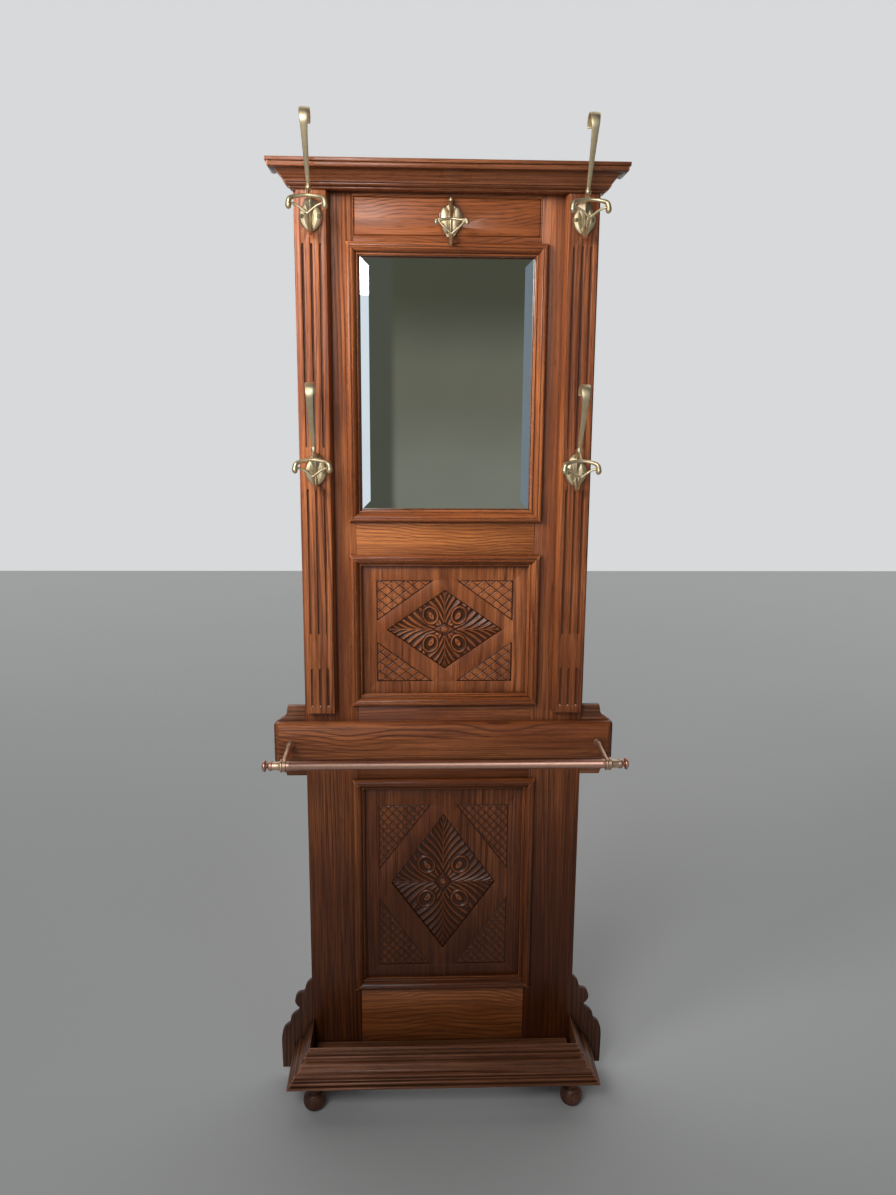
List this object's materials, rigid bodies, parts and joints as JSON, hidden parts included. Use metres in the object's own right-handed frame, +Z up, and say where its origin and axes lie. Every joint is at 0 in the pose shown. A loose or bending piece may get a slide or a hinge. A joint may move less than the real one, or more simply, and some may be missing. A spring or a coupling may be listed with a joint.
{
  "type": "hall tree",
  "caption": "Tall oak hall tree with a bevelled mirror, carved panels, brass coat hooks, an umbrella rail and a moulded tray base on bun feet.",
  "frame": {"origin": "on the floor, below the centre of the overall box", "axes": "+Z up, +Y towards the wall behind, +X to the right seen from the front"},
  "size_m": [0.751, 0.1886, 2.0796],
  "materials": {
    "oak": "reddish-brown stained oak, satin varnish",
    "oak_moulding": "reddish-brown stained oak mouldings, satin varnish, dark in the quirks",
    "carved_oak": "carved stained oak, dark wax in the hollows",
    "dark_oak": "dark brown stained oak, satin varnish, worn on the edges",
    "backing": "plain unfinished softwood",
    "brass": "aged cast brass, pale on the high spots and olive brown in the hollows",
    "copper": "copper-coloured satin metal, slightly tarnished",
    "mirror": "bevelled silvered plate glass"
  },
  "bodies": {
    "stand": {"base_board": "dark_oak", "bottom_rail": "oak", "bun_foot_left": "dark_oak", "bun_foot_right": "dark_oak", "cornice_front": "oak_moulding", "cornice_lid": "oak_moulding", "cornice_return_left": "oak_moulding", "cornice_return_right": "oak_moulding", "ear_left": "oak", "ear_right": "oak", "hook_centre": "brass", "hook_lower_left": "brass", "hook_lower_right": "brass", "hook_upper_left": "brass", "hook_upper_right": "brass", "lock_rail": "oak", "lower_carved_panel": "carved_oak", "lower_panel_moulding_bottom": "oak_moulding", "lower_panel_moulding_left": "oak_moulding", "lower_panel_moulding_right": "oak_moulding", "lower_panel_moulding_top": "oak_moulding", "middle_rail": "oak", "mirror_backboard": "backing", "mirror_glass": "mirror", "mirror_moulding_bottom": "oak_moulding", "mirror_moulding_left": "oak_moulding", "mirror_moulding_right": "oak_moulding", "mirror_moulding_top": "oak_moulding", "pilaster_left": "oak", "pilaster_right": "oak", "rail_board": "oak", "rail_bracket_left": "copper", "rail_bracket_right": "copper", "rail_finial_left": "copper", "rail_finial_right": "copper", "screw_centre_left": "brass", "screw_centre_right": "brass", "screw_lower_left_left": "brass", "screw_lower_left_right": "brass", "screw_lower_right_left": "brass", "screw_lower_right_right": "brass", "screw_upper_left_left": "brass", "screw_upper_left_right": "brass", "screw_upper_right_left": "brass", "screw_upper_right_right": "brass", "stile_left": "oak", "stile_right": "oak", "top_rail": "oak", "tray_moulding_front": "dark_oak", "tray_moulding_left": "dark_oak", "tray_moulding_right": "dark_oak", "umbrella_rail": "copper", "upper_carved_panel": "carved_oak", "upper_panel_moulding_bottom": "oak_moulding", "upper_panel_moulding_left": "oak_moulding", "upper_panel_moulding_right": "oak_moulding", "upper_panel_moulding_top": "oak_moulding", "wing_left": "dark_oak", "wing_right": "dark_oak"},
    "tray_board": {"tray_board": "dark_oak"}
  },
  "joints": [
    {"name": "tray_board_lift", "type": "slide", "parent": "stand", "child": "tray_board", "axis": [0, 0, 1], "range_m": [0, 0.12]}
  ]
}
